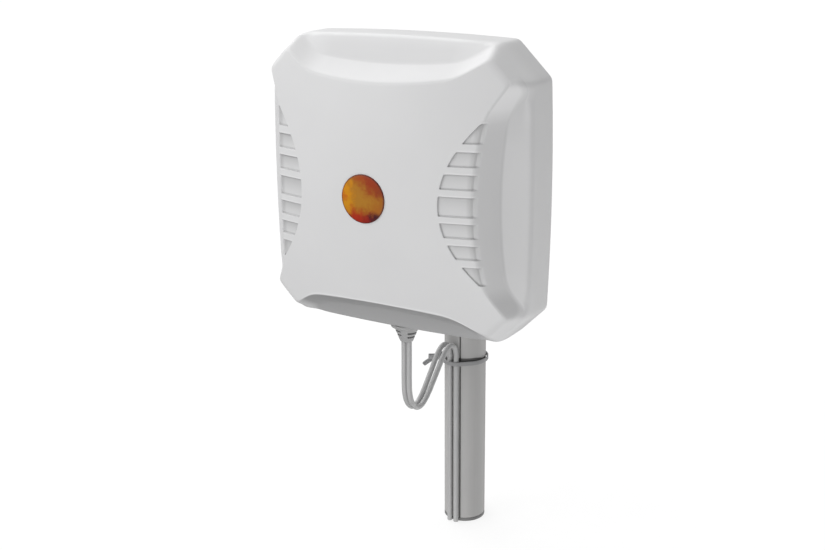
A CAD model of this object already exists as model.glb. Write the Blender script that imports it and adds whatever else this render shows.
# A square panel antenna under a moulded radome, bracketed to a short upright mast.
# Design places are millimetres about the centre of the radome's front face: x right, y back,
# z up. In the row frame, in metres, the mast's axis is the z axis and its foot stands on z = 0.
import math

import bmesh
import bpy
import numpy as np
from mathutils import Matrix, Vector


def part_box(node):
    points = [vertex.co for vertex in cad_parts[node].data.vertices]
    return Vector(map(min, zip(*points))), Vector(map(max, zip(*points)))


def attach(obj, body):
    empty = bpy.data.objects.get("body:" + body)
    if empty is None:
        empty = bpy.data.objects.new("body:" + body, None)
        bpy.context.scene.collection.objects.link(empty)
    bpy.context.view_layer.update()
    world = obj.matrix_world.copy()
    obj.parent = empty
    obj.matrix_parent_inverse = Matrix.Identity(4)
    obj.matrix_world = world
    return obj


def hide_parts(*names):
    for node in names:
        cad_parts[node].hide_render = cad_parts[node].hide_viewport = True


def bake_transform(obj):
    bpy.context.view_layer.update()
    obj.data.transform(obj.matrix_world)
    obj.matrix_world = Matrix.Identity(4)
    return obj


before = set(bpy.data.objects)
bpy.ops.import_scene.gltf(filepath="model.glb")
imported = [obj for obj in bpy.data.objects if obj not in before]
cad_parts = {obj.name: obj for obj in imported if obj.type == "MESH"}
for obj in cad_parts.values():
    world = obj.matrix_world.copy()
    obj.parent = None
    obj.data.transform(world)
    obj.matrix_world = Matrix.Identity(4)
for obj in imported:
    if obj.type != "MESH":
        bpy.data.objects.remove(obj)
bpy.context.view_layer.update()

# ------------------------------------------------------------------ driving sizes, mm
low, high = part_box("mast_tube")
MAST_R = (high.x - low.x) * 500.0
low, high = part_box("front_radome")
BACK_Y = (high.y - low.y) * 1000.0 + 1.0
MAST_Y = 214.5
FOOT_Z = -436.0
MAST_TOP = 74.0
BADGE_LABEL_R = 24.5

UP = Vector((0, 0, 1))


def to_row(points):
    """Design places in mm to metres in the row frame."""
    return (np.asarray(points, float) - np.array([0.0, MAST_Y, FOOT_Z])) / 1000.0


def row_point(point):
    return Vector(to_row(point))


# ------------------------------------------------------------------ shader helpers
def add_node(tree, kind, inputs, **settings):
    """Add a shader node; each input, by name or index, is given a value or a link."""
    made = tree.nodes.new("ShaderNode" + kind)
    for key, value in settings.items():
        setattr(made, key, value)
    for key, value in inputs.items():
        feed(tree, made.inputs[key], value)
    return made


def feed(tree, socket, value):
    if isinstance(value, bpy.types.NodeSocket):
        tree.links.new(value, socket)
    else:
        socket.default_value = value


def new_material(name):
    material = bpy.data.materials.new(name)
    material.use_nodes = True
    return material, material.node_tree, material.node_tree.nodes["Principled BSDF"]


def object_coords(tree, scale=(1, 1, 1), location=(0, 0, 0)):
    place = add_node(tree, "TexCoord", {}).outputs["Object"]
    mapping = add_node(tree, "Mapping", {"Vector": place, "Scale": scale, "Location": location})
    return mapping.outputs["Vector"]


def noise(tree, vector, scale, detail=4.0, roughness=0.55, output="Fac"):
    made = add_node(tree, "TexNoise", {"Vector": vector, "Scale": scale, "Detail": detail,
                                       "Roughness": roughness})
    return made.outputs[output]


def color_ramp(tree, factor, stops):
    """Two stops of (position, colour)."""
    made = add_node(tree, "ValToRGB", {"Fac": factor})
    for element, (position, color) in zip(made.color_ramp.elements, stops):
        element.position = position
        element.color = (*color, 1.0)
    return made.outputs["Color"]


def mottle(tree, factor, color, variation, start, end):
    """A colour that swings by a share of itself either way."""
    dark = [c * (1 - variation) for c in color]
    light = [c * (1 + variation) for c in color]
    return color_ramp(tree, factor, ((start, dark), (end, light)))


def map_range(tree, value, from_min, from_max, to_min, to_max, **settings):
    made = add_node(tree, "MapRange", {"Value": value, "From Min": from_min, "From Max": from_max,
                                       "To Min": to_min, "To Max": to_max}, **settings)
    return made.outputs["Result"]


def bump(tree, height, strength, distance):
    made = add_node(tree, "Bump", {"Height": height, "Strength": strength, "Distance": distance})
    return made.outputs["Normal"]


def math_node(tree, operation, *inputs):
    return add_node(tree, "Math", dict(enumerate(inputs)), operation=operation).outputs[0]


def vector_node(tree, operation, *inputs, output="Vector"):
    made = add_node(tree, "VectorMath", dict(enumerate(inputs)), operation=operation)
    return made.outputs[output]


def mix_color(tree, factor, first, second):
    # 6, 7 and output 2 are the mix node's colour sockets
    return add_node(tree, "Mix", {0: factor, 6: first, 7: second}, data_type="RGBA").outputs[2]


def plastic(name, color, roughness, variation=0.02, grain_scale=2200.0, grain_height=0.00002,
            specular=0.5):
    """Moulded plastic: faint mottling, fine eroded grain, roughness that wanders a little."""
    material, tree, shader = new_material(name)
    vector = object_coords(tree)
    cloud = noise(tree, vector, scale=14.0, detail=5.0)
    haze = noise(tree, vector, scale=60.0, detail=3.0)
    grain = noise(tree, vector, grain_scale, detail=2.0, roughness=0.5)
    feed(tree, shader.inputs["Base Color"], mottle(tree, cloud, color, variation, 0.3, 0.7))
    feed(tree, shader.inputs["Roughness"],
         map_range(tree, haze, 0.3, 0.7, roughness - 0.04, roughness + 0.04))
    feed(tree, shader.inputs["Normal"], bump(tree, grain, strength=0.35, distance=grain_height))
    shader.inputs["Specular IOR Level"].default_value = specular
    shader.inputs["Coat Roughness"].default_value = 0.15
    return material


def metal(name, color, roughness, stretch=(1, 1, 1), scale=120.0, variation=0.08,
          bump_height=0.00002, metallic=1.0):
    """Metal with drawn or rolled streaks along the axis of short scale, plus a cloudy tone."""
    material, tree, shader = new_material(name)
    streaks = noise(tree, object_coords(tree, stretch), scale, detail=6.0, roughness=0.6)
    cloud = noise(tree, object_coords(tree), scale=22.0, detail=4.0)
    mean = math_node(tree, "MULTIPLY_ADD", streaks, 0.5, math_node(tree, "MULTIPLY", cloud, 0.5))
    feed(tree, shader.inputs["Base Color"], mottle(tree, mean, color, variation, 0.35, 0.65))
    feed(tree, shader.inputs["Roughness"],
         map_range(tree, streaks, 0.3, 0.7, roughness - 0.06, roughness + 0.08))
    feed(tree, shader.inputs["Normal"], bump(tree, streaks, strength=0.3, distance=bump_height))
    shader.inputs["Metallic"].default_value = metallic
    return material


WEAR = "wear_dark"


def darken_by_wear(material):
    """Darken the base colour by the per-point wear attribute; 0 leaves it as it is."""
    tree = material.node_tree
    base = tree.nodes["Principled BSDF"].inputs["Base Color"]
    wear = add_node(tree, "Attribute", {}, attribute_type="GEOMETRY", attribute_name=WEAR)
    kept = math_node(tree, "SUBTRACT", 1.0, wear.outputs["Fac"])
    scaled = add_node(tree, "VectorMath", {0: base.links[0].from_socket, "Scale": kept},
                      operation="SCALE")
    tree.links.new(scaled.outputs[0], base)


def set_wear(ob, values):
    wear = ob.data.attributes.new(WEAR, "FLOAT", "POINT")
    wear.data.foreach_set("value", values.astype(np.float32))


# ------------------------------------------------------------------ materials
RADOME = plastic("radome_plastic", (0.70, 0.70, 0.705), roughness=0.42, variation=0.012,
                 grain_scale=1500.0, grain_height=0.000012, specular=0.45)
darken_by_wear(RADOME)
BOOT = plastic("boot_rubber", (0.40, 0.40, 0.40), roughness=0.55, variation=0.05,
               grain_scale=1800.0, grain_height=0.00003)
CABLE = plastic("cable_jacket", (0.47, 0.47, 0.47), roughness=0.36, variation=0.04,
                grain_scale=900.0, specular=0.6)
TIE = plastic("tie_nylon", (0.31, 0.31, 0.315), roughness=0.42, variation=0.05,
              grain_scale=1800.0)
CAP = plastic("cap_plastic", (0.2, 0.2, 0.2), roughness=0.5, variation=0.05)
NYLON = plastic("nylon", (0.72, 0.71, 0.66), roughness=0.45, variation=0.03)
GASKET = plastic("gasket_rubber", (0.028, 0.028, 0.028), roughness=0.7, variation=0.2)
MAST = metal("mast_paint", (0.475, 0.47, 0.465), roughness=0.5, stretch=(1, 1, 0.04),
             scale=240.0, variation=0.04, metallic=0.0)
darken_by_wear(MAST)
COVER = metal("cover_paint", (0.62, 0.625, 0.63), roughness=0.38, stretch=(1, 1, 0.06),
              scale=180.0, variation=0.04, bump_height=0.00001, metallic=0.6)
BRACKET = metal("bracket_zinc", (0.50, 0.51, 0.52), roughness=0.38, scale=160.0,
                variation=0.12, bump_height=0.00004, metallic=0.95)
STEEL = metal("fastener_steel", (0.55, 0.555, 0.56), roughness=0.28, scale=300.0,
              bump_height=0.00001)
SHEET = metal("sheet_aluminium", (0.72, 0.73, 0.74), roughness=0.3, stretch=(1, 1, 0.05),
              scale=200.0, variation=0.05, bump_height=0.00001)
BOARD = plastic("board_mask", (0.03, 0.16, 0.06), roughness=0.35, variation=0.1)
CAST = metal("saddle_cast", (0.50, 0.50, 0.505), roughness=0.5, scale=260.0,
             bump_height=0.00006, metallic=0.9)

# Colour patches of the label, laid over each other in this order:
# (centre x, z) and radius in label radii, colour, strength
BADGE_PATCHES = [
    ((0.05, 0.12), 1.05, (0.42, 0.19, 0.022), 0.9),
    ((-0.80, 0.35), 0.62, (0.62, 0.25, 0.008), 0.95),
    ((-0.72, -0.22), 0.55, (0.60, 0.26, 0.01), 0.9),
    ((-0.85, 0.08), 0.3, (0.50, 0.11, 0.01), 0.7),
    ((0.45, 0.80), 0.95, (0.30, 0.035, 0.010), 0.95),
    ((0.95, 0.42), 0.60, (0.26, 0.04, 0.012), 0.85),
    ((-0.2, 1.0), 0.55, (0.36, 0.06, 0.010), 0.8),
    ((-0.35, -0.85), 0.80, (0.38, 0.022, 0.012), 0.95),
    ((0.35, -0.95), 0.75, (0.26, 0.012, 0.012), 0.95),
    ((0.62, -0.85), 0.52, (0.035, 0.008, 0.016), 0.9),
    ((0.75, -0.35), 0.5, (0.38, 0.12, 0.016), 0.6),
]
BADGE_BASE = (0.36, 0.125, 0.012, 1)
BADGE_RIM = (0.10, 0.018, 0.012, 1)


def badge_material():
    """Glossy domed label: blended amber, orange and red patches with a dark burnt rim."""
    material, tree, shader = new_material("badge_label")
    radius = BADGE_LABEL_R / 1000.0
    label = object_coords(tree, scale=(1 / radius,) * 3,
                          location=(0.0, 0.0, FOOT_Z / 1000.0 / radius))

    def warp(position, amount, offset, **noise_values):
        """Push a position about in x and z by coloured noise."""
        push = vector_node(tree, "MULTIPLY_ADD", noise(tree, label, output="Color", **noise_values),
                           (amount, 0.0, amount), (offset, 0.0, offset))
        return vector_node(tree, "ADD", position, push)

    def flatten(position):
        return vector_node(tree, "MULTIPLY", position, (1, 0, 1))

    warped = warp(label, 0.55, -0.27, scale=1.1, detail=3.0, roughness=0.5)
    warped = warp(warped, 0.75, -0.37, scale=4.2, detail=6.0, roughness=0.65)
    base = tree.nodes.new("ShaderNodeRGB")
    base.outputs[0].default_value = BADGE_BASE
    color = base.outputs[0]
    for (x, z), patch_r, patch_color, strength in BADGE_PATCHES:
        distance = vector_node(tree, "DISTANCE", flatten(warped), (x, 0, z), output="Value")
        # 1 in the patch's core, fading to 0 at its radius
        patch = map_range(tree, distance, patch_r, patch_r * 0.15, 0.0, 1.0,
                          interpolation_type="SMOOTHERSTEP")
        color = mix_color(tree, math_node(tree, "MULTIPLY", patch, strength), color,
                          (*patch_color, 1))
    from_centre = vector_node(tree, "LENGTH", flatten(label), output="Value")
    rim = map_range(tree, from_centre, 0.93, 0.985, 0.0, 0.85)
    feed(tree, shader.inputs["Base Color"], mix_color(tree, rim, color, BADGE_RIM))
    fine = noise(tree, label, scale=40.0, detail=2.0)
    feed(tree, shader.inputs["Normal"], bump(tree, fine, strength=0.05, distance=0.00002))
    feed(tree, shader.inputs["Roughness"], map_range(tree, fine, 0.3, 0.7, 0.16, 0.22))
    shader.inputs["Coat Weight"].default_value = 0.12
    shader.inputs["Coat Roughness"].default_value = 0.1
    shader.inputs["Specular IOR Level"].default_value = 0.2
    return material


BADGE = badge_material()


# ------------------------------------------------------------------ mesh helpers
def link_object(name, mesh, material):
    if material:
        mesh.materials.append(material)
    ob = bpy.data.objects.new(name, mesh)
    bpy.context.scene.collection.objects.link(ob)
    return ob


def shade_smooth(mesh):
    mesh.polygons.foreach_set("use_smooth", [True] * len(mesh.polygons))


def mesh_object(name, points, faces, material, sharp):
    """Smooth object from mm points; edges sharper than the angle in degrees stay sharp."""
    mesh = bpy.data.meshes.new(name)
    mesh.from_pydata(to_row(points).tolist(), [], faces)
    shade_smooth(mesh)
    ob = link_object(name, mesh, material)
    bm = bmesh.new()
    bm.from_mesh(mesh)
    bmesh.ops.recalc_face_normals(bm, faces=bm.faces)
    bm.to_mesh(mesh)
    bm.free()
    mesh.set_sharp_from_angle(angle=math.radians(sharp))
    return ob


def quad_object(name, points, quads, material):
    """Smooth object from mm points and an (n, 4) array of quads, taken as they are."""
    mesh = bpy.data.meshes.new(name)
    mesh.vertices.add(len(points))
    mesh.vertices.foreach_set("co", to_row(points).ravel())
    mesh.loops.add(len(quads) * 4)
    mesh.loops.foreach_set("vertex_index", quads.ravel().astype(np.int32))
    mesh.polygons.add(len(quads))
    mesh.polygons.foreach_set("loop_start", np.arange(0, len(quads) * 4, 4, dtype=np.int32))
    mesh.update(calc_edges=True)
    mesh.validate()
    shade_smooth(mesh)
    return link_object(name, mesh, material)


def grid_faces(rows, around):
    """Quads between successive closed rows of points."""
    i = np.arange(rows - 1)[:, None] * around
    j = np.arange(around)[None, :]
    k = (j + 1) % around
    return np.stack([i + j, i + k, i + around + k, i + around + j], -1).reshape(-1, 4)


def capped_faces(rows, around):
    """The grid's quads, with one face closing each end."""
    return grid_faces(rows, around).tolist() + [
        list(range(around))[::-1], list(range((rows - 1) * around, rows * around))]


def point_normals(points, quads):
    corners = points[quads]
    across = np.cross(corners[:, 2] - corners[:, 0], corners[:, 3] - corners[:, 1])
    normals = np.zeros_like(points)
    for k in range(4):
        np.add.at(normals, quads[:, k], across)
    return normals / np.maximum(np.linalg.norm(normals, axis=1, keepdims=True), 1e-12)


def unit(vectors):
    return vectors / np.maximum(np.linalg.norm(vectors, axis=-1, keepdims=True), 1e-9)


def smooth01(x):
    x = np.clip(x, 0, 1)
    return x * x * (3 - 2 * x)


def rise(value, start, width):
    """0 up to the start, 1 from a width beyond it."""
    return np.clip((value - start) / width, 0, 1)


def fall(value, end, width):
    """1 until a width before the end, 0 from the end on."""
    return np.clip((end - value) / width, 0, 1)


def strip(value, centre, peak, slope):
    """Band about a centre, falling off by the slope from a peak that is cut at 1."""
    return np.clip(peak - np.abs(value - centre) * slope, 0, 1)


def rounded_meet(*distances, radius):
    """Signed distance of the overlap of half planes, with rounded corners."""
    shifted = [d + radius for d in distances]
    inside = np.minimum(np.maximum.reduce(shifted), 0)
    outside = np.sqrt(sum(np.maximum(d, 0) ** 2 for d in shifted))
    return inside + outside - radius


def round_corner(start, corner, end, count):
    """Points rounding a corner: a cubic whose handles reach 0.62 of the way to it."""
    first = start + (corner - start) * 0.62
    second = end + (corner - end) * 0.62
    return [(1 - t) ** 3 * start + 3 * (1 - t) ** 2 * t * first
            + 3 * (1 - t) * t * t * second + t ** 3 * end for t in np.linspace(0, 1, count)]


def ring_corner(start, end, count):
    """Rings (position, radius) rounding an outer corner, without the first."""
    corner = np.array([end[0], start[1]])
    return round_corner(np.array(start), corner, np.array(end), count)[1:]


def put(ob, body, slot, *cad_nodes):
    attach(ob, body)
    if cad_nodes:
        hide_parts(*cad_nodes)
    return ob


def bevel_edges(ob, width, angle):
    """Rounded edges; width in mm, on edges sharper than the angle in degrees."""
    bevel = ob.modifiers.new("edges", "BEVEL")
    bevel.width = width / 1000.0
    bevel.segments = 3
    bevel.limit_method = "ANGLE"
    bevel.angle_limit = math.radians(angle)


def tube(name, points, radius, material, segments):
    """Round tube swept without twist; one radius, or one for each point and segment."""
    path = [Vector(p) for p in points]
    count = len(path)
    radii = np.broadcast_to(radius, (count, segments))
    tangents = [(path[min(i + 1, count - 1)] - path[max(i - 1, 0)]).normalized()
                for i in range(count)]
    start = Vector((1, 0, 0)) if abs(tangents[0].x) < 0.9 else Vector((0, 1, 0))
    normal = (start - tangents[0] * start.dot(tangents[0])).normalized()
    ring_points = []
    for i, tangent in enumerate(tangents):
        if i:
            normal = tangents[i - 1].rotation_difference(tangent) @ normal
            normal = (normal - tangent * normal.dot(tangent)).normalized()
        binormal = tangent.cross(normal)
        for k in range(segments):
            angle = 2 * math.pi * k / segments
            r = float(radii[i][k])
            ring_points.append(path[i] + normal * (r * math.cos(angle))
                               + binormal * (r * math.sin(angle)))
    return mesh_object(name, ring_points, capped_faces(count, segments), material, sharp=50)


def smooth_path(points, steps):
    """Catmull-Rom curve through the points, in steps between each pair."""
    path = []
    last = len(points) - 1
    for i in range(last):
        near = [points[k] for k in (max(i - 1, 0), i, i + 1, min(i + 2, last))]
        for step in range(steps):
            t = step / steps
            path.append(tuple(0.5 * (2 * b + (c - a) * t + (2 * a - 5 * b + 4 * c - d) * t * t
                                     + (3 * b - a - 3 * c + d) * t ** 3)
                              for a, b, c, d in zip(*near)))
    path.append(tuple(points[-1]))
    return path


SEGMENTS = 96


def circle(segments=SEGMENTS):
    return np.linspace(0, 2 * math.pi, segments, endpoint=False)


def ring_object(name, rings, spot, axis, material, closed=False, sharp=32, squash=1.0,
                segments=SEGMENTS):
    """Body from rings (position, radius or radii) along an axis through a spot.

    It is capped at both ends, or its last ring is joined to its first when closed.
    """
    count = len(rings)
    angles = circle(segments)
    along = np.array([np.full(segments, position) for position, _ in rings], float)
    radii = np.array([np.broadcast_to(radius, segments) for _, radius in rings], float)
    a, b = radii * np.cos(angles), radii * np.sin(angles) * squash
    x, y, z = spot
    places = {"x": (along, y + a, z + b), "y": (x + b, along, z + a), "z": (x + a, y + b, along)}
    points = np.stack(places[axis], -1).reshape(-1, 3)
    if closed:
        last = (count - 1) * segments
        faces = grid_faces(count, segments).tolist()
        faces += [(last + j, last + (j + 1) % segments, (j + 1) % segments, j)
                  for j in range(segments)]
    else:
        faces = capped_faces(count, segments)
    return mesh_object(name, points, faces, material, sharp)


# ------------------------------------------------------------------ radome outlines
DOME = 0.00131                       # depth of the front face is this times its radius squared
FRONT_END, CREASE_END = 116.0, 112.0  # half lengths of a side's front edge and crease
CREASE_X, CREASE_Y, SHOULDER_Y = 127.0, 46.0, 65.0
# the rim: half width, bow at mid side, and half length between the corner chamfers
RIM_HALF, RIM_BOW, RIM_END = 150.0, 2.6, 114.0
SIDE_SAMPLES, TOP_SAMPLES, CORNER_SAMPLES = 560, 220, 26


def front_x(z):
    """Half width of the front face: a shallow curve, a tighter bend, a straight run out."""
    bend_z, bend_length, end_slope, curve = 74.0, 22.0, 0.606, 1076.0
    z = np.abs(z)
    slope = 2 * bend_z / curve
    d = np.clip(z - bend_z, 0, bend_length)
    bent = (112.0 + bend_z ** 2 / curve + slope * d
            + (end_slope - slope) * d * d / (2 * bend_length))
    x = np.where(z > bend_z, bent, 112.0 + z * z / curve)
    straight_z = bend_z + bend_length
    return np.where(z > straight_z, x + end_slope * (z - straight_z), x)


def crease_x(z):
    """Half width at the crease: a shallow bow that opens faster past its bend."""
    bend_z, bow = 72.0, 3.8
    z = np.abs(z)
    slope = 2 * bow / bend_z
    d = np.clip(z - bend_z, 0, None)
    return np.where(z > bend_z, CREASE_X + bow + slope * d + (0.85 - slope) * d * d / 80.0,
                    CREASE_X + bow * (z / bend_z) ** 2)


def at_depth(outline, y):
    moved = outline.copy()
    moved[:, 1] = y
    return moved


def side_outlines(samples):
    """Corresponding samples of the right side's four outlines, from front to back."""
    t = np.linspace(-1, 1, samples + 1)
    z = FRONT_END * t
    x = front_x(z)
    front = np.stack([x, DOME * (x ** 2 + z ** 2), z], -1)
    x = crease_x(CREASE_END * t)
    share = np.clip((x - CREASE_X) / (RIM_HALF - CREASE_X), 0, 1)
    crease = np.stack([x, CREASE_Y + (SHOULDER_Y - CREASE_Y) * share, CREASE_END * t], -1)
    rim_x = RIM_HALF + RIM_BOW * (1 - t ** 2)
    rim = np.stack([rim_x, np.full_like(t, SHOULDER_Y), RIM_END * t], -1)
    # at its ends the crease runs into a line 0.42 of the way from front edge to rim
    end = rise(np.abs(t), 0.94, 0.06)[:, None]
    crease = crease * (1 - end) + (front + (rim - front) * 0.42) * end
    return front, crease, rim, at_depth(rim, BACK_Y)


def add_corner(side):
    """Carry a right side's outline on in a straight line to the start of the top side."""
    share = np.linspace(0, 1, CORNER_SAMPLES + 2)[1:-1][:, None]
    end = side[-1]
    following = np.array([-side[0][2], side[0][1], side[0][0]])
    return np.concatenate([side, end + (following - end) * share])


def turned(outline, cosine, sine):
    x, y, z = outline.T
    return np.stack([x * cosine - z * sine, y, x * sine + z * cosine], -1)


def shrink_lower_corners(outline):
    """Lengthen the sides towards the two lower corners, leaving smaller chamfers there."""
    grow = 0.05
    end = RIM_END * (1 + grow)
    x, z = outline[:, 0], outline[:, 2]
    across, height = np.abs(x), np.abs(z)
    chamfer = ((across + height > RIM_HALF + RIM_END - 0.05) & (across < RIM_HALF - 0.01)
               & (height < RIM_HALF - 0.01) & (z < 0))
    sides = (z < 0) & ~chamfer
    share = (RIM_HALF - across) / (RIM_HALF - RIM_END)
    new_x = np.where(chamfer, np.sign(x) * (RIM_HALF - (RIM_HALF - end) * share), x)
    new_z = np.where(chamfer, -(end + (RIM_HALF - end) * share), z)
    new_z = np.where(sides & (across >= height), z * (1 + grow * (height / RIM_END) ** 4), new_z)
    new_x = np.where(sides & (across < height), x * (1 + grow * (across / RIM_END) ** 4), new_x)
    return np.stack([new_x, outline[:, 1], new_z], -1)


def soften(outline, sigma):
    """Gaussian smoothing of a closed line along its own length, keeping the sampling."""
    steps = np.linalg.norm(np.roll(outline, -1, 0) - outline, axis=1)
    at = np.concatenate([[0], np.cumsum(steps)])
    total = at[-1]
    count = int(total / 0.25)
    even = np.linspace(0, total, count, endpoint=False)
    closed = np.concatenate([outline, outline[:1]])
    line = np.stack([np.interp(even, at, closed[:, i]) for i in range(3)], -1)
    frequency = np.fft.fftfreq(count, d=total / count)
    gain = np.exp(-2 * (math.pi * frequency * sigma) ** 2)
    line = np.real(np.fft.ifft(np.fft.fft(line, axis=0) * gain[:, None], axis=0))
    closed = np.concatenate([line, line[:1]])
    even = np.concatenate([even, [total]])
    return np.stack([np.interp(at[:-1], even, closed[:, i]) for i in range(3)], -1)


def inset(outline, distance):
    along = np.roll(outline, -1, 0) - np.roll(outline, 1, 0)
    outward = unit(np.stack([along[:, 2], 0 * along[:, 0], -along[:, 0]], -1))
    return outline - outward * distance


def panel_outlines():
    """The front edge, crease, rim and back outlines, from the right side round by the top."""
    sides = []
    # cosine and sine of each side's turn: right, top, left, bottom
    for (cosine, sine), samples in zip(((1, 0), (0, 1), (-1, 0), (0, -1)),
                                       (SIDE_SAMPLES, TOP_SAMPLES) * 2):
        sides.append([turned(add_corner(side), cosine, sine) for side in side_outlines(samples)])
    front, crease, rim, back = [np.concatenate(parts) for parts in zip(*sides)]
    front = soften(front, 3.6)
    front[:, 1] = DOME * (front[:, 0] ** 2 + front[:, 2] ** 2)
    return (front, soften(crease, 4.5), soften(shrink_lower_corners(rim), 3.2),
            soften(shrink_lower_corners(back), 2.6))


FRONT_LINE, CREASE_LINE, RIM_LINE, BACK_LINE = panel_outlines()

# ------------------------------------------------------------------ radome
# rows of points: inner and outer front, front edge, straight walls, bends
INNER_ROWS, OUTER_ROWS, EDGE_ROWS, WALL_ROWS, BEND_ROWS = 22, 96, 17, 10, 14
EDGE_ROW = INNER_ROWS + OUTER_ROWS
CREASE_ROW = EDGE_ROW + EDGE_ROWS + WALL_ROWS
RIM_ROW = CREASE_ROW + BEND_ROWS + WALL_ROWS

# louvre pockets down both sides, (bottom z, top z)
POCKETS = [(-79.8, -60.2), (-53.0, -38.2), (-31.5, -16.3), (-10.3, 9.8),
           (16.3, 31.5), (38.2, 53.0), (60.2, 79.8)]
POCKET_DEPTH, POCKET_RAMP = 1.9, 1.0


def fillet(corner, before, after, reach_before, reach_after, count):
    """Rows rounding a corner line between its two neighbour lines."""
    ends = []
    for line, reach in ((before, reach_before), (after, reach_after)):
        reach = np.minimum(reach, 0.48 * np.linalg.norm(line - corner, axis=1))[:, None]
        ends.append(corner + unit(line - corner) * reach)
    return round_corner(ends[0], corner, ends[1], count)


def straight(start, end, count):
    return [start + (end - start) * t for t in np.linspace(0, 1, count + 2)[1:-1]]


def dome_row(scale):
    x, z = FRONT_LINE[:, 0] * scale, FRONT_LINE[:, 2] * scale
    return np.stack([x, DOME * (x * x + z * z), z], -1)


def radome_rows(edge_radius, corner):
    """All rows of the shell, from the middle of the front to inside the back edge."""
    edge_scale = 1 - edge_radius / np.linalg.norm(FRONT_LINE[:, [0, 2]], axis=1)
    rows = [dome_row(s) for s in np.linspace(0.004, 0.55, INNER_ROWS)]
    rows += [dome_row(s * edge_scale) for s in np.linspace(0.585, 1.0, OUTER_ROWS)]
    wall = CREASE_LINE - FRONT_LINE
    reach = np.minimum(edge_radius, 0.48 * np.linalg.norm(wall, axis=1))[:, None]
    rows += round_corner(rows[-1], FRONT_LINE, FRONT_LINE + unit(wall) * reach,
                         EDGE_ROWS + 1)[1:]
    back_inner = inset(BACK_LINE, 2.9)
    bends = [
        (WALL_ROWS, fillet(CREASE_LINE, FRONT_LINE, RIM_LINE,
                           3.0 + 9.0 * corner, 3.0 + 9.0 * corner, BEND_ROWS)),
        (WALL_ROWS, fillet(RIM_LINE, CREASE_LINE, BACK_LINE,
                           4.6 + 13.0 * corner, 4.6 + 26.0 * corner, BEND_ROWS)),
        (8, fillet(BACK_LINE, RIM_LINE, back_inner, 1.3, 1.3, 8)),
    ]
    for count, bend in bends:
        rows += straight(rows[-1], bend[0], count) + bend
    lip = at_depth(back_inner, 104.2)
    return rows + fillet(back_inner, BACK_LINE, lip, 0.8, 0.8, 5) + [lip]


def louvres(x, z, row, past_edge, edge_radius):
    """Pocket depth share and tone of every point."""
    edge_x = front_x(z)
    right = x > 0
    # distance out from the middle, carried on along the wall past the front edge
    reach = np.where(row < EDGE_ROW, np.abs(x), edge_x - edge_radius * 0.9 + past_edge)
    on_sides = (np.abs(x) > np.abs(z) * 1.05) & (row < EDGE_ROW + 30)
    inner = 78.7 + z * z / 172.0
    outer = edge_x + np.where(right, 6.0, 0.6)
    run = smooth01((outer - reach) / np.where(right, 4.5, 1.2))
    depth = np.zeros(len(x))
    tone = np.ones(len(x))
    for bottom, top in POCKETS:
        distance = rounded_meet((inner - reach) * 0.97, bottom - z, z - top, radius=1.3)
        depth = np.maximum(depth, smooth01(-distance / POCKET_RAMP) * run)
        inside = np.clip(-distance / 0.5, 0, 1) * run
        down = np.clip((top - z) / (top - bottom), 0, 1)
        # darkest under the top edge
        tone *= 1 - inside * (0.03 + np.where(right, 0.17, 0.27) * (1 - down) ** 1.3)
        # grime lines: (strength, place across the line, its centre, peak, slope)
        for strength, across, centre, peak, slope in (
                (0.22, z - bottom, 0.7, 1.9, 1.25),       # along the foot
                (0.13, reach - inner, 0.6, 1.8, 1.3),     # at the inner end
                (0.12, top - z, 0.6, 1.6, 1.5)):          # under the top edge
            tone *= 1 - strength * inside * strip(across, centre, peak, slope)
        tone *= 1 - 0.14 * inside * rise(reach - edge_x, -6.5, 3.0)
        # a lighter line just above the pocket
        above = strip(z - top, 0.9, 1.0, 1.0) * rise(reach - inner, 0.0, 1.5) * run
        tone *= 1 + 0.11 * above
    return depth * on_sides, np.where(on_sides, tone, 1.0)


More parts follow.
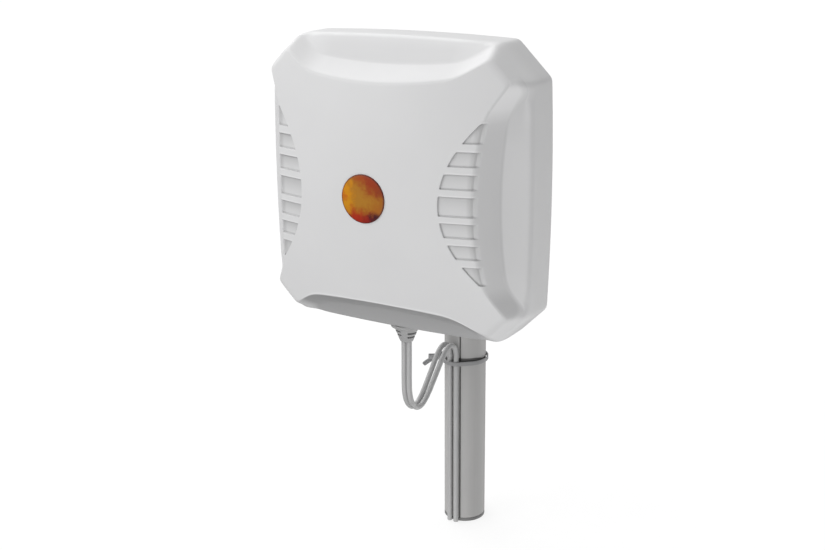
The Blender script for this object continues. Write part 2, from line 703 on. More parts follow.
def wall_tone(x, z, row, from_diagonal):
    """Broad tone of every point; from_diagonal is its angle from the nearest diagonal."""
    # parts of the outline: bottom, top, left and right, corners
    steepness = z / np.maximum(np.abs(x), np.abs(z))
    bottom = smooth01((-steepness - 0.84) / 0.12) * (1 - fall(from_diagonal, 0.125, 0.04))
    top = rise(steepness, 0.8, 0.15)
    corner = fall(from_diagonal, 0.24, 0.14)
    beside = rise(np.abs(x) / np.maximum(np.abs(z), 1e-6), 1.12, 0.1)
    # bands of rows
    scoop = rise(row, EDGE_ROW + 4, 5.0) * fall(row, RIM_ROW + 11, 7.0)
    along = np.clip((row - EDGE_ROW) / float(RIM_ROW - EDGE_ROW), 0, 1)
    lip = strip(row, EDGE_ROW + 0.5, 1.4, 1 / 3.0)
    foot = strip(row, CREASE_ROW + 6.5, 1.0, 1 / 5.0)
    rim = strip(row, RIM_ROW + 6.5, 1.3, 1 / 6.0)
    wall = rise(row, EDGE_ROW + 8, 4.0) * fall(row, CREASE_ROW + 8, 6.0)
    ledge = rise(row, CREASE_ROW + 9.0, 4.0) * fall(row, RIM_ROW - 1.0, 4.0)

    # the bottom recess is in deep tone, its front edge polished a little brighter
    tone = 1 - scoop * bottom * (0.57 - 0.20 * along)
    tone *= 1 + 0.16 * lip * bottom
    # dust held in the crease at the foot of the walls
    tone *= 1 - 0.10 * foot * (1 - bottom) * (1 - corner) * (1 - 0.8 * top)
    # the top ledge is cleaner along its rim and a little dusty in the middle
    tone *= 1 + top * (1 - corner) * (0.12 * rim - 0.03 * ledge)
    tone *= 1 + 0.09 * wall * top * (1 - corner)
    # the corners are cleaner, most of all the upper ones
    tone *= 1 + ((0.04 + 0.025 * rise(z, 0.0, 60.0)) * corner
                 * rise(row, EDGE_ROW, 12.0) * fall(row, RIM_ROW + 14, 8.0))
    # side scoops: cleanest on the upper end wall, dustiest on the lower one and high on the ledge
    high_end = rise(z, 78.0, 14.0) * beside
    low_end = rise(-z, 84.0, 14.0) * beside
    tone *= (1 + wall * (0.02 * beside + 0.14 * high_end - 0.13 * low_end)
             - 0.07 * ledge * rise(z, 55.0, 35.0) * beside)
    # the front changes very slightly from top to bottom
    return tone * (1 - 0.022 * np.clip(z / 90, -1.1, 1.1) * fall(row, EDGE_ROW + 6, 8.0))


def build_radome():
    around = len(FRONT_LINE)
    angle = np.arctan2(np.abs(FRONT_LINE[:, 2]), np.abs(FRONT_LINE[:, 0]))
    from_diagonal = np.abs(angle - math.pi / 4)
    corner = smooth01(1 - from_diagonal / 0.16)
    low_side = fall(np.abs(angle - math.pi / 2), 0.55, 0.3) * (FRONT_LINE[:, 2] < 0)
    edge_radius = 3.4 - 1.6 * low_side + 3.2 * corner

    rows = radome_rows(edge_radius, corner)
    count = len(rows)
    points = np.concatenate(rows)
    quads = grid_faces(count, around)[:, ::-1]
    steps = [np.linalg.norm(rows[i + 1] - rows[i], axis=1) for i in range(count - 1)]
    length = np.concatenate([[np.zeros(around)], np.cumsum(steps, 0)])
    past_edge = (length - length[EDGE_ROW - 1]).reshape(-1)

    x, z = points[:, 0], points[:, 2]
    row = np.repeat(np.arange(count), around)
    depth, tone = louvres(x, z, row, past_edge, np.tile(edge_radius, count))
    tone = tone * wall_tone(x, z, row, np.tile(from_diagonal, count))
    points = points - point_normals(points, quads) * (POCKET_DEPTH * depth)[:, None]
    radome = quad_object("radome_shell", points, quads, RADOME)
    set_wear(radome, 1 - tone)
    put(radome, "panel", "radome", "front_radome")


build_radome()


# ------------------------------------------------------------------ badge
def build_badge():
    low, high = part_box("badge")
    r = (high.x - low.x) * 500.0
    dome_r = r - 1.05
    # (y, radius)
    rings = [(1.0, 2.0), (1.0, r - 0.6), (0.95, r - 0.15), (0.75, r), (0.1, r),
             (-0.12, r - 0.12), (-0.25, r - 0.4), (-0.25, r - 0.9), (-0.32, dome_r)]
    for k in np.linspace(0.0, 1.0, 40)[1:]:
        rings.append((-0.32 - 1.3 * (1 - (1 - k) ** 2) ** 0.8, max(dome_r * (1 - k), 0.05)))
    put(ring_object("badge_dome", rings, (0, 0, 0), "y", BADGE, sharp=50),
        "panel", "badge", "badge")


build_badge()

# ------------------------------------------------------------------ cable boot
BOOT_Y = 81.0
BOOT_SPINE = math.atan2(-0.97, 0.24)   # direction of the uncut spine between the slots
# slots in the taper: (z, side of the spine, half height)
BOOT_SLOTS = [(-159.6, -1, 0.8), (-161.6, 1, 0.95), (-164.2, -1, 0.8), (-166.3, 1, 0.95)]
TAPER_TOP, TAPER_END = -157.4, -171.3


def build_boot():
    # (z, radius)
    rings = [(-146.0, 9.0), (-152.5, 9.0), (-152.7, 9.2), (-152.7, 16.8)]
    rings += [(-152.72 - 0.5 * math.sin(a), 16.8 + 0.6 * math.sin(a))
              for a in np.linspace(0.2, math.pi / 2, 5)]
    rings += [(-154.6, 17.4), (-155.4, 17.3), (-156.0, 16.9), (-156.4, 16.2), (-156.6, 15.2)]
    rings += [(-156.6 - 0.8 * k * k, 15.2 - 1.7 * math.sin(k * math.pi / 2))
              for k in np.linspace(0, 1, 8)[1:]]
    from_spine = np.sin(circle() - BOOT_SPINE)
    for z in np.linspace(TAPER_TOP, TAPER_END, 150):
        k = (TAPER_TOP - z) / (TAPER_TOP - TAPER_END)
        radius = np.full(SEGMENTS, 13.5 - 5.9 * k)
        for slot_z, side, half in BOOT_SLOTS:
            cut = smooth01((half + 0.2 - abs(z - slot_z)) / 0.4)
            sector = smooth01((from_spine * side - 0.30) / 0.14)
            radius = radius - (3.6 - 1.2 * k) * cut * sector
        rings.append((z, radius))
    rings += [(TAPER_END - 1.2 * math.sin(a), 7.5 - 1.2 * (1 - math.cos(a)))
              for a in np.linspace(0, math.pi / 2, 7)]
    rings.append((TAPER_END - 1.2, 5.6))
    boot = ring_object("cable_boot_ribbed", rings, (0, BOOT_Y, 0), "z", BOOT,
                       sharp=38, squash=0.86)
    put(boot, "panel", "boot", "cable_boot")


build_boot()

# ------------------------------------------------------------------ cables
CABLE_R = 2.95
CABLE_X = 3.1                               # either side of the middle, in the boot
MAST_CABLE_X = {"a": -5.65, "b": 2.8}


def on_mast(x):
    """The y of a cable lying against the front of the mast."""
    return MAST_Y - math.sqrt((MAST_R + CABLE_R + 0.3) ** 2 - x * x)


MAST_CABLE_Y = on_mast(0.0)
# the slack loop from boot to mast, (y, z)
CABLE_LOOP = [
    (81.0, -160.0), (81.0, -174.3), (80.8, -195.0), (80.4, -216.0), (81.2, -232.0),
    (85.5, -244.5), (94.0, -253.3), (103.5, -255.6), (112.5, -253.0), (122.5, -246.2),
    (131.0, -238.4), (139.0, -230.8), (147.0, -223.0), (155.0, -215.3), (163.0, -209.6),
    (171.5, -207.4), (179.5, -209.6), (185.0, -215.5), (187.3, -223.5),
    (MAST_CABLE_Y, -231.0), (MAST_CABLE_Y, -250.0)]


def build_cable(mark, side):
    mast_x = MAST_CABLE_X[mark]
    mast_y = on_mast(mast_x)
    stations = []
    for y, z in CABLE_LOOP:
        # share of the sideways move from boot to mast place
        share = max(0.0, min(1.0, (y - 100.0) / 70.0))
        stations.append((side * CABLE_X + (mast_x - side * CABLE_X) * share,
                         y + (mast_y - MAST_CABLE_Y) * share, z))
    path = smooth_path(stations, 12)
    lowest = min(range(len(path)), key=lambda i: path[i][2])
    down_mast = [(mast_x, mast_y, z) for z in np.linspace(-256, FOOT_Z + 1.0, 40)]
    radius = CABLE_R + 0.02
    drop = tube("cable_%s_drop" % mark, path[:lowest + 1], radius, CABLE, 40)
    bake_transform(drop)
    climb = tube("cable_%s_rise" % mark, path[lowest:] + down_mast, radius, CABLE, 40)
    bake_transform(climb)
    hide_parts("cable_%s_slack_loop" % mark, "cable_%s_mast_run" % mark)


build_cable("a", -1)
build_cable("b", 1)

# ------------------------------------------------------------------ cable tie
TIE_Z, TIE_WIDTH, TIE_THICKNESS = -233.4, 4.8, 1.3
head_plan = np.array([-0.8624, -0.5061])
head_plan /= np.linalg.norm(head_plan)
HEAD_PLACE = np.array([0.0, MAST_Y]) + head_plan * 32.0
HEAD_OUT = Vector((head_plan[0], head_plan[1], 0.0))
HEAD_ACROSS = Vector((-head_plan[1], head_plan[0], 0.0))
HEAD_CENTRE = Vector((HEAD_PLACE[0], HEAD_PLACE[1], TIE_Z)) + HEAD_OUT * 6.2 - UP * 0.5
# circles the strap is drawn tight round, ((x, y), radius): mast, both cables, head
TIE_CIRCLES = [((0.0, MAST_Y), MAST_R + 1.7),
               *(((x, on_mast(x)), CABLE_R + 0.3) for x in MAST_CABLE_X.values()),
               (tuple(HEAD_PLACE), 1.2)]


def strap_line():
    """The strap's inner line in plan, evenly spaced and lightly smoothed."""
    points = []
    for i in range(720):
        angle = 2 * math.pi * (i + 0.5) / 720
        out_x, out_y = math.cos(angle), math.sin(angle)
        centre, r = max(TIE_CIRCLES, key=lambda c: c[0][0] * out_x + c[0][1] * out_y + c[1])
        points.append((centre[0] + r * out_x, centre[1] + r * out_y))
    line = np.array(points)
    steps = np.linalg.norm(np.roll(line, -1, 0) - line, axis=1)
    at = np.concatenate([[0], np.cumsum(steps)])
    closed = np.concatenate([line, line[:1]])
    even = np.linspace(0, at[-1], 480, endpoint=False)
    line = np.stack([np.interp(even, at, closed[:, k]) for k in (0, 1)], -1)
    for _ in range(6):
        line = 0.25 * np.roll(line, 1, 0) + 0.5 * line + 0.25 * np.roll(line, -1, 0)
    return line


def strap_section(width, thickness, steps, r):
    """Rounded rectangle as (outward, up) pairs."""
    section = []
    for outward, up, start in ((thickness - r, width / 2 - r, 0), (r, width / 2 - r, 90),
                               (r, -width / 2 + r, 180), (thickness - r, -width / 2 + r, 270)):
        for k in range(steps + 1):
            a = math.radians(start + 90 * k / steps)
            section.append((outward + r * math.cos(a), up + r * math.sin(a)))
    return section


def build_tie_strap():
    line = strap_line()
    tangents = unit(np.roll(line, -1, 0) - np.roll(line, 1, 0))
    outward = np.stack([tangents[:, 1], -tangents[:, 0]], -1)
    section = strap_section(TIE_WIDTH, TIE_THICKNESS, steps=4, r=0.35)
    points = [(p[0] + n[0] * a, p[1] + n[1] * a, TIE_Z + b)
              for p, n in zip(line, outward) for a, b in section]
    count, around = len(line), len(section)
    faces = []
    for i in range(count):
        this, following = i * around, (i + 1) % count * around
        for j in range(around):
            k = (j + 1) % around
            faces.append((this + j, following + j, following + k, this + k))
    put(mesh_object("cable_tie_strap", points, faces, TIE, sharp=60), "mast", "tie", "cable_tie")


def build_tie_head():
    """Block with rounded edges and a pocket sunk in its top."""
    bm = bmesh.new()
    bmesh.ops.create_cube(bm, size=1.0)
    for v in bm.verts:
        v.co = Vector((v.co.x * 9.8, v.co.y * 5.0, v.co.z * 5.8))
    bm.normal_update()
    top = max(bm.faces, key=lambda face: face.normal.z)
    bmesh.ops.inset_region(bm, faces=[top], thickness=1.3, use_even_offset=True)
    pocket = bmesh.ops.extrude_discrete_faces(bm, faces=[top])["faces"][0]
    sink = pocket.normal * -1.6
    for v in pocket.verts:
        v.co += sink
    edges = [e for e in bm.edges if e.is_manifold and e.calc_face_angle(0) > 0.6]
    bmesh.ops.bevel(bm, geom=edges, offset=0.8, segments=3, profile=0.5, affect="EDGES",
                    clamp_overlap=True)
    turn = Matrix((HEAD_OUT, HEAD_ACROSS, UP)).transposed()
    for v in bm.verts:
        v.co = row_point(HEAD_CENTRE + turn @ v.co)
    bmesh.ops.recalc_face_normals(bm, faces=bm.faces)
    mesh = bpy.data.meshes.new("cable_tie_head")
    bm.to_mesh(mesh)
    bm.free()
    shade_smooth(mesh)
    mesh.set_sharp_from_angle(angle=math.radians(35))
    put(link_object("cable_tie_head", mesh, TIE), "mast", "tie")


def build_tie_tail():
    """The cut tail leaves the head, droops and carries its teeth."""
    length, droop, rows = 14.5, 1.2, 61
    start = HEAD_CENTRE + HEAD_OUT * -1.6 - UP * 1.2
    direction = (HEAD_OUT * 0.86 - UP * 0.51).normalized()
    points = []
    for i in range(rows):
        s = i / (rows - 1.0)
        place = start + direction * (length * s) - UP * (droop * s * s)
        tangent = (direction * length - UP * (2 * droop * s)).normalized()
        upward = tangent.cross(HEAD_ACROSS).normalized()
        width = 5.2 * (1 - 0.3 * float(smooth01((s - 0.92) / 0.08)))
        groove = 0.25 * (i % 3 == 0)
        section = strap_section(width, TIE_THICKNESS - groove, steps=3, r=0.3)
        points += [place + HEAD_ACROSS * (a - 0.6) + upward * b for a, b in section]
    faces = capped_faces(rows, len(section))
    put(mesh_object("cable_tie_tail", points, faces, TIE, sharp=35), "mast", "tie")


build_tie_strap()
build_tie_head()
build_tie_tail()

# ------------------------------------------------------------------ mast, its cap and foot plug
MAST_BORE_R = MAST_R - 2.0
PLUG_R = MAST_BORE_R - 0.2
SEAM = math.atan2(-0.970, 0.246)   # direction of the tube's lengthwise seam, beside the leads


def from_seam(angle):
    return np.mod(angle - SEAM + math.pi, 2 * math.pi) - math.pi


def seam_share(angle):
    """1 in the seam's narrow groove, 0 away from it."""
    return 1 - smooth01((np.abs(from_seam(angle)) * MAST_R - 0.6) / 0.3)


def build_mast():
    bottom, top, r, bore = FOOT_Z + 4.3, MAST_TOP, MAST_R, MAST_BORE_R
    # closely spaced rings carry the wear round the tie
    levels = sorted([*np.linspace(bottom + 1, top - 1, 30),
                     *np.arange(TIE_Z - 3.0, TIE_Z + 8.0, 0.35)])
    groove = 1.1 * seam_share(circle(768))
    outside = [(bottom + 0.5, r), *((z, r) for z in levels), (top - 0.5, r),
               (top - 0.15, r - 0.15), (top, r - 0.5)]
    inside = [(top, bore + 0.4), (top - 0.3, bore), (bottom + 0.3, bore), (bottom, bore + 0.4)]
    foot = [(bottom, r - 0.5), (bottom + 0.15, r - 0.15)]
    rings = ([(z, radius - groove) for z, radius in outside] + inside
             + [(z, radius - groove) for z, radius in foot])
    mast = ring_object("mast_tube_fine", rings, (0, MAST_Y, 0), "z", MAST,
                       closed=True, sharp=30, segments=768)
    places = np.empty(len(mast.data.vertices) * 3)
    mast.data.vertices.foreach_get("co", places)
    places = places.reshape(-1, 3) * 1000.0
    z = places[:, 2] + FOOT_Z
    angle = np.arctan2(places[:, 1], places[:, 0])
    turn = from_seam(angle)
    # paint rubbed dark where the tie has chafed, just above it and tallest beside the leads
    tall = 3.0 * (1 - smooth01((np.abs(turn) - 0.7) / 0.7)) * (turn > -0.2) + 0.5
    rub = (smooth01((TIE_Z + TIE_WIDTH / 2 + tall - z) / 0.5)
           * smooth01((z - TIE_Z + TIE_WIDTH / 2) / 1.0))
    set_wear(mast, 0.75 * rub + (1 - 0.75 * rub) * 0.8 * seam_share(angle))
    put(mast, "mast", "mast", "mast_tube")


def build_mast_ends():
    top, foot, r = MAST_TOP, FOOT_Z, MAST_R
    # (z, radius)
    cap = [(top - 14, 3.0), (top - 14, PLUG_R - 1.2), (top - 13, PLUG_R), (top + 0.1, PLUG_R),
           (top + 0.25, r - 0.3), (top + 0.5, r), (top + 2.2, r)]
    cap += ring_corner((top + 2.2, r), (top + 4.0, r - 2.6), 9)
    cap += [(top + 4.0, r - 5.0), (top + 3.6, r - 5.6), (top + 3.6, 3.0), (top + 4.1, 2.2),
            (top + 4.1, 0.3)]
    plug = [(foot + 18, PLUG_R - 1.2), (foot + 17, PLUG_R), (foot + 4.1, PLUG_R),
            (foot + 4.0, r - 0.2), (foot + 3.7, r), (foot + 0.8, r)]
    plug += ring_corner((foot + 0.8, r), (foot + 0.05, r - 0.8), 6)
    plug += [(foot + 0.05, r - 6.0), (foot + 0.9, r - 6.6), (foot + 0.9, 4.0)]
    for name, rings, cad_node in (("mast_cap_moulded", cap, "mast_top_cap"),
                                  ("mast_foot_moulded", plug, "mast_foot_plug")):
        put(ring_object(name, rings, (0, MAST_Y, 0), "z", CAP, segments=192),
            "mast", "cap", cad_node)


build_mast()
build_mast_ends()

# ------------------------------------------------------------------ rear cover, pressed from sheet
COVER_FRONT, COVER_BACK = 103.9, 107.4
FIELD_DEPTH = 1.5   # the pressed field lies this far below the edge and the middle pad


def outline_of(distance):
    """Closed line where a signed distance is zero, at the back outline's angles."""
    angles = np.arctan2(BACK_LINE[:, 2], BACK_LINE[:, 0])
    ca, sa = np.cos(angles), np.sin(angles)
    near, far = np.zeros(len(angles)), np.full(len(angles), 400.0)
    for _ in range(40):
        middle = (near + far) / 2
        inside = distance(np.abs(middle * ca), np.abs(middle * sa)) < 0
        near, far = np.where(inside, middle, near), np.where(inside, far, middle)
    return np.stack([near * ca, 0 * near, near * sa], -1)


def build_cover():
    pad = outline_of(lambda x, z: rounded_meet(x - 52.0, z - 62.0, radius=10.0))
    # a square with cut corners, all its corners rounded
    field = outline_of(lambda x, z: rounded_meet(x - 124.0, z - 124.0,
                                                 (x + z - 200.0) / math.sqrt(2), radius=9.0))
    edge = inset(BACK_LINE, 3.3)
    rows = [at_depth(pad * s, COVER_FRONT) for s in (0.02, 0.9)]
    rows += [at_depth(pad + (edge - pad) * t, COVER_FRONT) for t in (0.3, 0.7, 0.94)]
    # the rounded edge of the sheet, (inset, y)
    for distance, y in ((3.9, COVER_FRONT), (3.42, COVER_FRONT + 0.15), (3.3, COVER_FRONT + 0.5),
                        (3.3, COVER_BACK - 0.9), (3.38, COVER_BACK - 0.5),
                        (3.6, COVER_BACK - 0.2), (3.95, COVER_BACK - 0.04), (4.4, COVER_BACK)):
        rows.append(at_depth(inset(BACK_LINE, distance), y))
    border = rows[-1]
    rows += [at_depth(border + (field - border) * t, COVER_BACK)
             for t in np.linspace(0, 1, 10)[1:]]
    rows += [at_depth(field * (1 - 0.034 * k), COVER_BACK - FIELD_DEPTH * smooth01(k))
             for k in np.linspace(0, 1, 17)[1:]]
    inner = field * 0.966
    rows += [at_depth(inner + (pad * 1.075 - inner) * t, COVER_BACK - FIELD_DEPTH)
             for t in np.linspace(0, 1, 26)[1:-1]]
    rows += [at_depth(pad * (1.075 - 0.075 * k), COVER_BACK - FIELD_DEPTH * (1 - smooth01(k)))
             for k in np.linspace(0, 1, 17)]
    rows += [at_depth(pad * s, COVER_BACK) for s in (0.95, 0.8, 0.6, 0.4, 0.2, 0.02)]
    # every third sample is fine enough for the sheet
    rows = [row[::3] for row in rows]
    faces = capped_faces(len(rows), len(rows[0]))
    cover = mesh_object("rear_cover_pressed", np.concatenate(rows), faces, COVER, sharp=35)
    put(cover, "panel", "cover", "rear_cover")


build_cover()

# ------------------------------------------------------------------ fasteners
THREAD_PITCH, THREAD_DEPTH = 1.25, 0.42
LARGE_R, LARGE_HEX_R, NUT_BORE = 4.0, 7.4, 4.1   # of the clamp's bolts and nuts


def hexagon(r):
    """Radius of a hexagon, corners at r, at each angle of the circle."""
    return r * math.cos(math.pi / 6) / np.cos(np.mod(circle(), math.pi / 3) - math.pi / 6)


def hex_end(end, height, r, sign=1):
    """Rings of a hexagon's chamfered end: the corners are cut by a shallow cone."""
    return [(end - sign * height * (1 - k), np.minimum(hexagon(r), r * (1.005 - 0.145 * k)))
            for k in np.linspace(0, 1, 7)]


def thread_cut(turns):
    """Share of the thread's depth cut away, at a place counted in turns."""
    return np.clip(np.abs(np.mod(turns, 1.0) * 2 - 1) * 1.25 - 0.1, 0, 1)


def thread_rings(start, end, r, pitch=THREAD_PITCH, depth=THREAD_DEPTH):
    count = int(abs(end - start) / pitch * 10)
    rings = []
    for k in range(count + 1):
        t = start + (end - start) * k / count
        rings.append((t, r - depth * thread_cut(t / pitch - circle() / (2 * math.pi))))
    return rings


def bolt(name, spot, axis, shank, seat, shank_r, washer_r, hex_r, head_height):
    """Shank rings, a washer on the seat and a hexagon head with a shallow sunk top."""
    base = seat + 1.0
    top = base + head_height
    washer = [(seat, shank_r), (seat, washer_r - 0.2), (seat + 0.15, washer_r),
              (seat + 0.85, washer_r), (base, washer_r - 0.2)]
    head = [(base, hex_r * 0.84), (base + 0.35, hex_r * 0.84),
            (base + 0.36, np.minimum(hexagon(hex_r), hex_r * 0.9)),
            (base + 0.9, hexagon(hex_r)), (base + 1.2, hexagon(hex_r))]
    head += hex_end(top, 1.15, hex_r)
    head += [(top, hex_r * 0.8), (top - 0.25, hex_r * 0.7), (top - 0.25, 0.6)]
    return ring_object(name, shank + washer + head, spot, axis, STEEL)


def nut(name, spot, axis, start):
    """Nut 6.8 or so long is given by its start and end; both ends are chamfered."""
    start, end = start
    rings = hex_end(start, 1.1, LARGE_HEX_R, sign=-1)[::-1] + hex_end(end, 1.1, LARGE_HEX_R)
    rings += [(end, NUT_BORE + 0.9), (end - 0.9, NUT_BORE), (start + 0.9, NUT_BORE),
              (start, NUT_BORE + 0.9)]
    return ring_object(name, rings, spot, axis, STEEL, closed=True)


COVER_SCREWS = [(110, 110), (-110, 110), (-110, -110), (110, -110), (134, 0), (-134, 0),
                (46, 134), (-46, 134), (-46, -134), (46, -134)]   # (x, z)


def build_cover_screw(number, x, z):
    """Flanged screw with a domed head and a hexagon socket."""
    seat, head_r = COVER_BACK + 0.05, 3.9
    socket = hexagon(1.55)
    rings = [(92.0, 0.6), (93.0, 1.7), (seat, 1.9), (seat, 5.2), (seat + 0.15, 5.4),
             (seat + 0.75, 5.4), (seat + 0.9, 5.2), (seat + 0.92, head_r),
             (seat + 0.95, head_r + 0.05), (seat + 1.7, head_r)]
    for a in np.linspace(0.1, 1.0, 9) * (math.pi / 2):
        rings.append((seat + 1.7 + 1.05 * math.sin(a), head_r * math.cos(a) * 0.55 + 1.75))
    rings += [(seat + 2.72, socket * 1.08), (seat + 2.6, socket), (seat + 1.2, socket),
              (seat + 0.9, 0.3)]
    put(ring_object("cover_screw_%d_fine" % number, rings, (x, 0, z), "y", STEEL),
        "panel", "steel", "cover_screw_%d" % number)


for i, (x, z) in enumerate(COVER_SCREWS, 1):
    build_cover_screw(i, x, z)

BRACKET_SCREWS = [(29, 36), (-29, 36), (-29, -36), (29, -36)]   # (x, z)
BRACKET_SEAT = 110.6 + 0.1
for i, (x, z) in enumerate(BRACKET_SCREWS, 1):
    shank = [(97.5, 1.5), (97.8, 2.7), *thread_rings(98.0, 103.8, 3.0, pitch=1.0, depth=0.35),
             (104.0, 3.0)]
    screw = bolt("bracket_screw_%d_fine" % i, (x, 0, z), "y", shank, BRACKET_SEAT,
                 shank_r=3.0, washer_r=6.8, hex_r=5.6, head_height=3.6)
    put(screw, "panel", "steel", "bracket_screw_%d" % i)

PIVOT_Y, PIVOT_Z, LOCK_RISE = 150.0, -12.0, 30.0
EAR_X, EAR_THICKNESS, EAR_GAP = 13.4, 3.0, 0.4
EARS_OUT = EAR_X + EAR_THICKNESS + EAR_GAP + EAR_THICKNESS   # outer face of the outer ears
for mark, z in (("pivot", PIVOT_Z), ("tilt_lock", PIVOT_Z + LOCK_RISE)):
    spot = (0, PIVOT_Y, z)
    shank = [(-EARS_OUT - 9.6, 2.0), (-EARS_OUT - 9.4, 3.3),
             *thread_rings(-EARS_OUT - 9.3, -EARS_OUT + 1.0, LARGE_R),
             (-EARS_OUT + 1.4, LARGE_R)]
    cross_bolt = bolt(mark + "_bolt_fine", spot, "x", shank, EARS_OUT + 0.05,
                      shank_r=LARGE_R, washer_r=8.6, hex_r=LARGE_HEX_R, head_height=4.95)
    put(cross_bolt, "clamp", "steel", mark + "_bolt")
    put(nut(mark + "_nut_fine", spot, "x", (-EARS_OUT - 7.0, -EARS_OUT - 0.3)),
        "clamp", "steel", mark + "_nut")

# ------------------------------------------------------------------ U-bolts and saddles
PLATE_FRONT, PLATE_BACK = 180.0, 183.0   # faces of the mast bracket's plate
U_BEND_R, U_TIP_Y, U_THREAD_END = 28.6, 166.0, 190.0
SADDLE_HALF, SADDLE_HEIGHT = 23.6, 18.0
NOTCH_HALF_ANGLE = math.radians(60)
NOTCH_TEETH, TOOTH_DEPTH = 13, 0.5175    # teeth on each flank of the notch


def build_u_bolt(mark, z):
    segments = 32
    path = [(-U_BEND_R, y, z) for y in np.linspace(U_TIP_Y, MAST_Y, 360)]
    path += [(-U_BEND_R * math.cos(a), MAST_Y + U_BEND_R * math.sin(a), z)
             for a in np.linspace(0, math.pi, 73)[1:-1]]
    path += [(U_BEND_R, y, z) for y in np.linspace(MAST_Y, U_TIP_Y, 360)]
    turns = np.arange(segments) / segments
    radii = []
    for x, y, _ in path:
        cut = thread_cut(y / THREAD_PITCH - turns * np.sign(x))
        radius = LARGE_R - THREAD_DEPTH * cut * smooth01((U_THREAD_END - y) / 1.5)
        if y < U_TIP_Y + 0.8:
            radius = np.minimum(radius, LARGE_R - 0.8 + (y - U_TIP_Y))
        radii.append(radius)
    put(tube("u_bolt_%s_fine" % mark, path, radii, STEEL, segments),
        "clamp", "steel", "u_bolt_" + mark)
    for side, sign in (("right", 1), ("left", -1)):
        name = "u_bolt_nut_%s_%s" % (mark, side)
        put(nut(name + "_fine", (sign * U_BEND_R, 0, z), "y",
                (PLATE_FRONT - 7.1, PLATE_FRONT - 0.3)), "clamp", "steel", name)


def build_saddle(mark, z):
    """Cast wedge with teeth in its notch, which opens back onto the mast."""
    apex = MAST_Y - (MAST_R + 0.3) / math.sin(NOTCH_HALF_ANGLE)
    plan = [(-SADDLE_HALF, PLATE_BACK + 0.3), (SADDLE_HALF, PLATE_BACK + 0.3)]
    for k in range(NOTCH_TEETH * 4 + 1):
        x = SADDLE_HALF * (1 - k / (NOTCH_TEETH * 2.0))
        tooth = TOOTH_DEPTH if k % 2 else 0.0
        plan.append((x, apex + abs(x) / math.tan(NOTCH_HALF_ANGLE) - tooth))
    bm = bmesh.new()
    base = bm.faces.new([bm.verts.new(row_point((x, y, z - SADDLE_HEIGHT / 2)))
                         for x, y in plan])
    for item in bmesh.ops.extrude_face_region(bm, geom=[base])["geom"]:
        if isinstance(item, bmesh.types.BMVert):
            item.co.z += SADDLE_HEIGHT / 1000.0
    bmesh.ops.recalc_face_normals(bm, faces=bm.faces)
    name = "saddle_%s_cast" % mark
    mesh = bpy.data.meshes.new(name)
    bm.to_mesh(mesh)
    bm.free()
    saddle = link_object(name, mesh, CAST)
    bevel_edges(saddle, 0.5, angle=50)
    put(saddle, "clamp", "bracket", "saddle_" + mark)


for mark, z in (("upper", 28.0), ("lower", -32.0)):
    build_u_bolt(mark, z)
    build_saddle(mark, z)

# ------------------------------------------------------------------ carried-over CAD nodes
# (node, material, edge rounding in mm; 0 leaves the edges alone)
DRESSING = [
    ("panel_bracket", BRACKET, 0.5), ("mast_bracket", BRACKET, 0.5),
    ("perimeter_gasket", GASKET, 0.4), ("reflector_tray", SHEET, 0.3),
    ("feed_board", BOARD, 0.2), ("driven_patch", SHEET, 0.2),
    ("director_patch_inner", SHEET, 0.2), ("director_patch_outer", SHEET, 0.2),
    ("feed_strip_left", SHEET, 0.15), ("feed_strip_right", SHEET, 0.15),
    ("boot_nut", NYLON, 0.3),
    *(("spacer_post_%d" % k, NYLON, 0.3) for k in range(1, 5)),
    *(("cable_%s_panel_lead" % k, CABLE, 0) for k in "ab"),
]


def dress(name, material, width):
    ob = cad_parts[name]
    ob.data.materials.clear()
    ob.data.materials.append(material)
    if width:
        weld = ob.modifiers.new("weld", "WELD")
        weld.merge_threshold = 0.00002
        bevel_edges(ob, width, angle=40)


for entry in DRESSING:
    dress(*entry)


# ------------------------------------------------------------------ stage, light, camera
def floor_material():
    """Evenly glowing paper that still takes a little shade."""
    material, tree, shader = new_material("floor_paper")
    tree.nodes.remove(shader)
    glow = add_node(tree, "Emission", {"Color": (1, 1, 1, 1), "Strength": 0.80})
    grain = noise(tree, object_coords(tree), scale=30.0, detail=3.0)
    paper = add_node(tree, "BsdfDiffuse", {"Color": color_ramp(
        tree, grain, ((0.3, (0.215, 0.215, 0.215)), (0.7, (0.225, 0.225, 0.225))))})
    both = add_node(tree, "AddShader", {0: glow.outputs[0], 1: paper.outputs[0]})
    tree.links.new(both.outputs[0], output_surface(tree, "OUTPUT_MATERIAL"))
    return material


def output_surface(tree, kind):
    return next(n for n in tree.nodes if n.type == kind).inputs["Surface"]


def build_floor():
    half = 60
    mesh = bpy.data.meshes.new("floor")
    mesh.from_pydata([(-half, -half, 0), (half, -half, 0), (half, half, 0), (-half, half, 0)],
                     [], [(0, 1, 2, 3)])
    floor = link_object("floor", mesh, floor_material())
    # the floor is only looked at; the light it would send up is part of the soft lights below
    floor.visible_diffuse = False
    floor.visible_glossy = False
    floor.visible_shadow = False


# broad soft lights, (azimuth, elevation, strength); azimuth 0 is straight in front of the face
SOFT_LIGHTS = [
    (30, -55, 0.75), (150, -55, 0.9), (20, -25, 1.7), (100, -25, 0.25), (140, -25, 1.25),
    (-90, -25, 0.4), (-120, 35, 2.3), (-40, 35, 2.6), (0, 35, 0.55), (160, 35, 0.75),
    (180, 65, 0.95)]
LIGHT_TIGHTNESS = 8.0
AMBIENT = 0.04


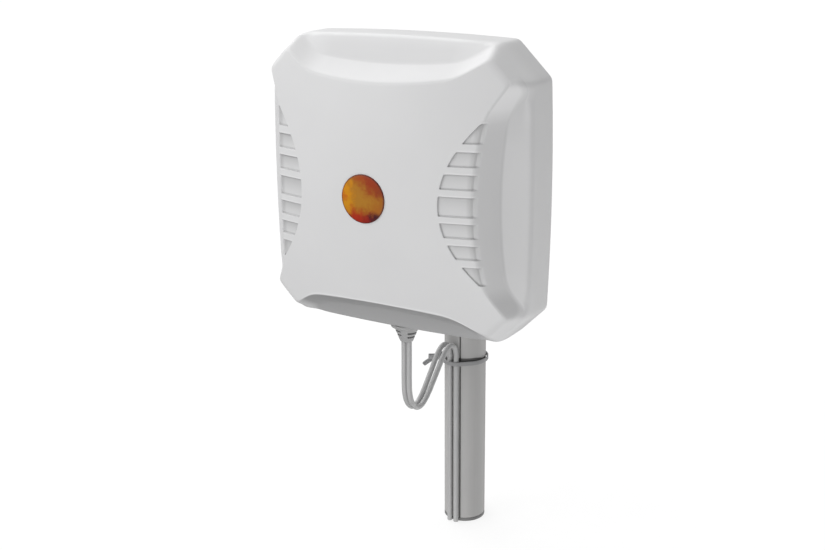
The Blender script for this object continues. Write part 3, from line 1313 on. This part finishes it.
def build_world():
    """Soft lights as lobes on the sky; the camera itself sees plain white."""
    scene = bpy.context.scene
    world = scene.world or bpy.data.worlds.new("world")
    scene.world = world
    world.use_nodes = True
    tree = world.node_tree
    direction = vector_node(tree, "NORMALIZE",
                            add_node(tree, "TexCoord", {}).outputs["Generated"])
    total = AMBIENT
    for azimuth, elevation, strength in SOFT_LIGHTS:
        azimuth, elevation = math.radians(azimuth), math.radians(elevation)
        towards = (math.sin(azimuth) * math.cos(elevation),
                   -math.cos(azimuth) * math.cos(elevation), math.sin(elevation))
        facing = vector_node(tree, "DOT_PRODUCT", direction, towards, output="Value")
        power = math_node(tree, "MULTIPLY_ADD", facing, LIGHT_TIGHTNESS, -LIGHT_TIGHTNESS)
        lobe = math_node(tree, "EXPONENT", power)
        total = math_node(tree, "MULTIPLY_ADD", lobe, strength, total)
    sky = tree.nodes["Background"]
    sky.inputs["Color"].default_value = (1, 1, 1, 1)
    feed(tree, sky.inputs["Strength"], total)
    white = add_node(tree, "Background", {"Color": (1, 1, 1, 1), "Strength": 1.0})
    seen = add_node(tree, "LightPath", {}).outputs["Is Camera Ray"]
    mixed = add_node(tree, "MixShader", {0: seen, 1: sky.outputs[0], 2: white.outputs[0]})
    tree.links.new(mixed.outputs[0], output_surface(tree, "OUTPUT_WORLD"))


def build_camera():
    """Camera in front, to the right and a little above, looking back at the panel."""
    data = bpy.data.cameras.new("camera")
    data.lens = 55.06
    data.sensor_width = 36.0
    data.clip_start, data.clip_end = 0.01, 200
    camera = bpy.data.objects.new("camera", data)
    bpy.context.scene.collection.objects.link(camera)
    forward = Vector((-0.4864, 0.8242, -0.2900))
    right = Vector((-0.1401, 0.2540, 0.9570)).cross(-forward).normalized()
    up = (-forward).cross(right).normalized()
    turn = Matrix((right, up, -forward.normalized())).transposed().to_4x4()
    place = row_point((652.8, -1011.6, 286.5))
    camera.matrix_world = Matrix.Translation(place) @ turn
    bpy.context.scene.camera = camera


build_floor()
build_world()
build_camera()
view = bpy.context.scene.view_settings
view.view_transform = "Standard"
view.look = "None"
view.exposure = 0.0
